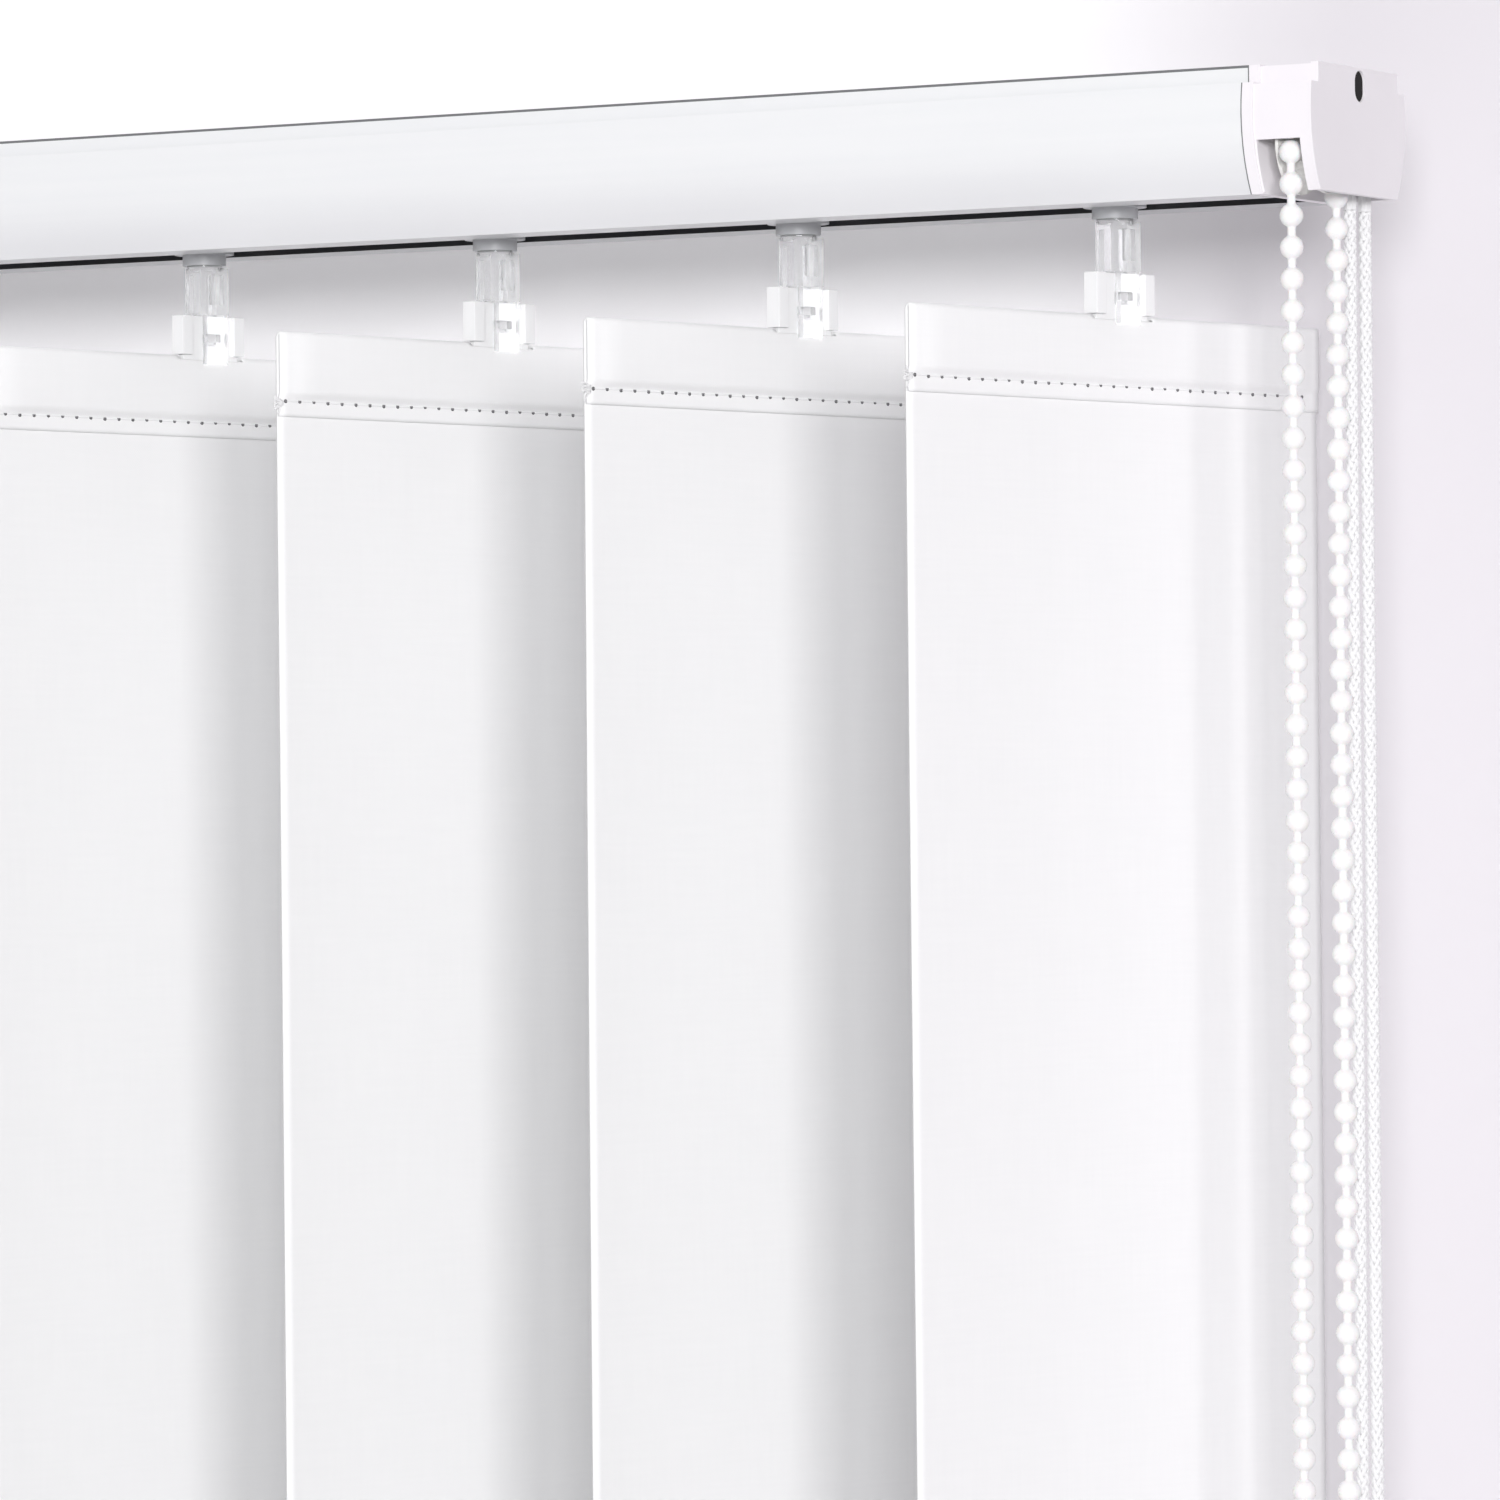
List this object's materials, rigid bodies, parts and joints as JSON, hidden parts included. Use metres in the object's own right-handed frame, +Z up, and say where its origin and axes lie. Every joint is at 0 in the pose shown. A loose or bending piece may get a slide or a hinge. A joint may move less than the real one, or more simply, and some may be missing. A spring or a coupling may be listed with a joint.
{
  "type": "vertical blind",
  "caption": "Vertical blind with cloth louvres on clear hooks under a white headrail, turned by a bead chain and drawn aside by a cord.",
  "frame": {"origin": "ceiling plane, midway between the two bracket screw holes, on the rail's centre line", "axes": "+X along the rail to the control end, +Y to the window, +Z up"},
  "size_m": [0.4579, 0.1253, 0.9463],
  "materials": {
    "rail_white": "gloss white lacquer",
    "cap_white": "satin moulded white",
    "carrier_white": "moulded, natural",
    "drive_white": "moulded acetal",
    "chain_white": "glossy white",
    "cord_white": "braided",
    "clear_plastic": "clear",
    "cloth_white": "plain fine weave",
    "rod_metal": "mill",
    "pin_steel": "bright",
    "clip_steel": "zinc plated",
    "weight_steel": "coated bar"
  },
  "bodies": {
    "head": {"headrail": "rail_white", "control_cap": "cap_white", "return_cap": "cap_white", "bead_chain": "chain_white", "draw_cord": "cord_white", "rail_cord": "cord_white", "cord_weight": "chain_white", "pulley_pin": "pin_steel", "return_pin": "pin_steel", "bracket_left": "clip_steel", "bracket_right": "clip_steel", "carrier_6": "carrier_white", "spacer_6": "carrier_white"},
    "rod": {"tilt_rod": "rod_metal", "chain_sprocket": "drive_white"},
    "front_pulley": {"cord_pulley_front": "drive_white"},
    "back_pulley": {"cord_pulley_back": "drive_white"},
    "far_pulley": {"return_pulley": "drive_white"},
    "truck_1": {"carrier_1": "carrier_white"},
    "truck_2": {"carrier_2": "carrier_white", "spacer_2": "carrier_white"},
    "truck_3": {"carrier_3": "carrier_white", "spacer_3": "carrier_white"},
    "truck_4": {"carrier_4": "carrier_white", "spacer_4": "carrier_white"},
    "truck_5": {"carrier_5": "carrier_white", "spacer_5": "carrier_white"},
    "vane_1": {"hook_1": "clear_plastic", "hanger_1": "clear_plastic", "louvre_1": "cloth_white", "weight_1": "weight_steel"},
    "vane_2": {"hook_2": "clear_plastic", "hanger_2": "clear_plastic", "louvre_2": "cloth_white", "weight_2": "weight_steel"},
    "vane_3": {"hook_3": "clear_plastic", "hanger_3": "clear_plastic", "louvre_3": "cloth_white", "weight_3": "weight_steel"},
    "vane_4": {"hook_4": "clear_plastic", "hanger_4": "clear_plastic", "louvre_4": "cloth_white", "weight_4": "weight_steel"},
    "vane_5": {"hook_5": "clear_plastic", "hanger_5": "clear_plastic", "louvre_5": "cloth_white", "weight_5": "weight_steel"},
    "vane_6": {"hook_6": "clear_plastic", "hanger_6": "clear_plastic", "louvre_6": "cloth_white", "weight_6": "weight_steel"},
    "drive_1": {"worm_1": "drive_white"},
    "drive_2": {"worm_2": "drive_white"},
    "drive_3": {"worm_3": "drive_white"},
    "drive_4": {"worm_4": "drive_white"},
    "drive_5": {"worm_5": "drive_white"},
    "drive_6": {"worm_6": "drive_white"}
  },
  "joints": [
    {"name": "traverse_1", "type": "slide", "parent": "head", "child": "truck_1", "axis": [1, 0, 0], "range_m": [0, 0.2675]},
    {"name": "traverse_2", "type": "slide", "parent": "head", "child": "truck_2", "axis": [1, 0, 0], "range_m": [0, 0.214]},
    {"name": "traverse_3", "type": "slide", "parent": "head", "child": "truck_3", "axis": [1, 0, 0], "range_m": [0, 0.1605]},
    {"name": "traverse_4", "type": "slide", "parent": "head", "child": "truck_4", "axis": [1, 0, 0], "range_m": [0, 0.107]},
    {"name": "traverse_5", "type": "slide", "parent": "head", "child": "truck_5", "axis": [1, 0, 0], "range_m": [0, 0.0535]},
    {"name": "tilt_1", "type": "hinge", "parent": "truck_1", "child": "vane_1", "pos_m": [-0.17625, 0, -0.0157], "axis": [0, 0, 1], "range_deg": [-55.5, 72.5]},
    {"name": "tilt_2", "type": "hinge", "parent": "truck_2", "child": "vane_2", "pos_m": [-0.10575, 0, -0.0157], "axis": [0, 0, 1], "range_deg": [-55.5, 72.5]},
    {"name": "tilt_3", "type": "hinge", "parent": "truck_3", "child": "vane_3", "pos_m": [-0.03525, 0, -0.0157], "axis": [0, 0, 1], "range_deg": [-55.5, 72.5]},
    {"name": "tilt_4", "type": "hinge", "parent": "truck_4", "child": "vane_4", "pos_m": [0.03525, 0, -0.0157], "axis": [0, 0, 1], "range_deg": [-55.5, 72.5]},
    {"name": "tilt_5", "type": "hinge", "parent": "truck_5", "child": "vane_5", "pos_m": [0.10575, 0, -0.0157], "axis": [0, 0, 1], "range_deg": [-55.5, 72.5]},
    {"name": "tilt_6", "type": "hinge", "parent": "head", "child": "vane_6", "pos_m": [0.17625, 0, -0.0157], "axis": [0, 0, 1], "range_deg": [-55.5, 72.5]},
    {"name": "worm_spin_1", "type": "hinge", "parent": "truck_1", "child": "drive_1", "pos_m": [-0.17625, -0.008, -0.0157], "axis": [1, 0, 0], "range_deg": [-555, 725]},
    {"name": "worm_spin_2", "type": "hinge", "parent": "truck_2", "child": "drive_2", "pos_m": [-0.10575, -0.008, -0.0157], "axis": [1, 0, 0], "range_deg": [-555, 725]},
    {"name": "worm_spin_3", "type": "hinge", "parent": "truck_3", "child": "drive_3", "pos_m": [-0.03525, -0.008, -0.0157], "axis": [1, 0, 0], "range_deg": [-555, 725]},
    {"name": "worm_spin_4", "type": "hinge", "parent": "truck_4", "child": "drive_4", "pos_m": [0.03525, -0.008, -0.0157], "axis": [1, 0, 0], "range_deg": [-555, 725]},
    {"name": "worm_spin_5", "type": "hinge", "parent": "truck_5", "child": "drive_5", "pos_m": [0.10575, -0.008, -0.0157], "axis": [1, 0, 0], "range_deg": [-555, 725]},
    {"name": "worm_spin_6", "type": "hinge", "parent": "head", "child": "drive_6", "pos_m": [0.17625, -0.008, -0.0157], "axis": [1, 0, 0], "range_deg": [-555, 725]},
    {"name": "rod_spin", "type": "hinge", "parent": "head", "child": "rod", "pos_m": [0, -0.008, -0.0157], "axis": [1, 0, 0], "range_deg": [-555, 725]},
    {"name": "front_pulley_spin", "type": "hinge", "parent": "head", "child": "front_pulley", "pos_m": [0.2178, 0.0074, -0.0157], "axis": [0, 1, 0], "range_deg": [0, 2950]},
    {"name": "back_pulley_spin", "type": "hinge", "parent": "head", "child": "back_pulley", "pos_m": [0.2178, 0.0138, -0.0157], "axis": [0, 1, 0], "range_deg": [-2950, 0]},
    {"name": "far_pulley_spin", "type": "hinge", "parent": "head", "child": "far_pulley", "pos_m": [-0.2218, 0.0106, -0.0105], "axis": [0, 0, 1], "range_deg": [0, 4800]}
  ],
  "couplings": [
    {"joint": "traverse_2", "follows": "traverse_1", "ratio": 0.8},
    {"joint": "traverse_3", "follows": "traverse_1", "ratio": 0.6},
    {"joint": "traverse_4", "follows": "traverse_1", "ratio": 0.4},
    {"joint": "traverse_5", "follows": "traverse_1", "ratio": 0.2},
    {"joint": "tilt_2", "follows": "tilt_1", "ratio": 1},
    {"joint": "tilt_3", "follows": "tilt_1", "ratio": 1},
    {"joint": "tilt_4", "follows": "tilt_1", "ratio": 1},
    {"joint": "tilt_5", "follows": "tilt_1", "ratio": 1},
    {"joint": "tilt_6", "follows": "tilt_1", "ratio": 1},
    {"joint": "worm_spin_1", "follows": "tilt_1", "ratio": 10},
    {"joint": "worm_spin_2", "follows": "tilt_1", "ratio": 10},
    {"joint": "worm_spin_3", "follows": "tilt_1", "ratio": 10},
    {"joint": "worm_spin_4", "follows": "tilt_1", "ratio": 10},
    {"joint": "worm_spin_5", "follows": "tilt_1", "ratio": 10},
    {"joint": "worm_spin_6", "follows": "tilt_1", "ratio": 10},
    {"joint": "rod_spin", "follows": "tilt_1", "ratio": 10},
    {"joint": "front_pulley_spin", "follows": "traverse_1", "rad_per_m": 192.31},
    {"joint": "back_pulley_spin", "follows": "traverse_1", "rad_per_m": -192.31},
    {"joint": "far_pulley_spin", "follows": "traverse_1", "rad_per_m": 312.5}
  ]
}
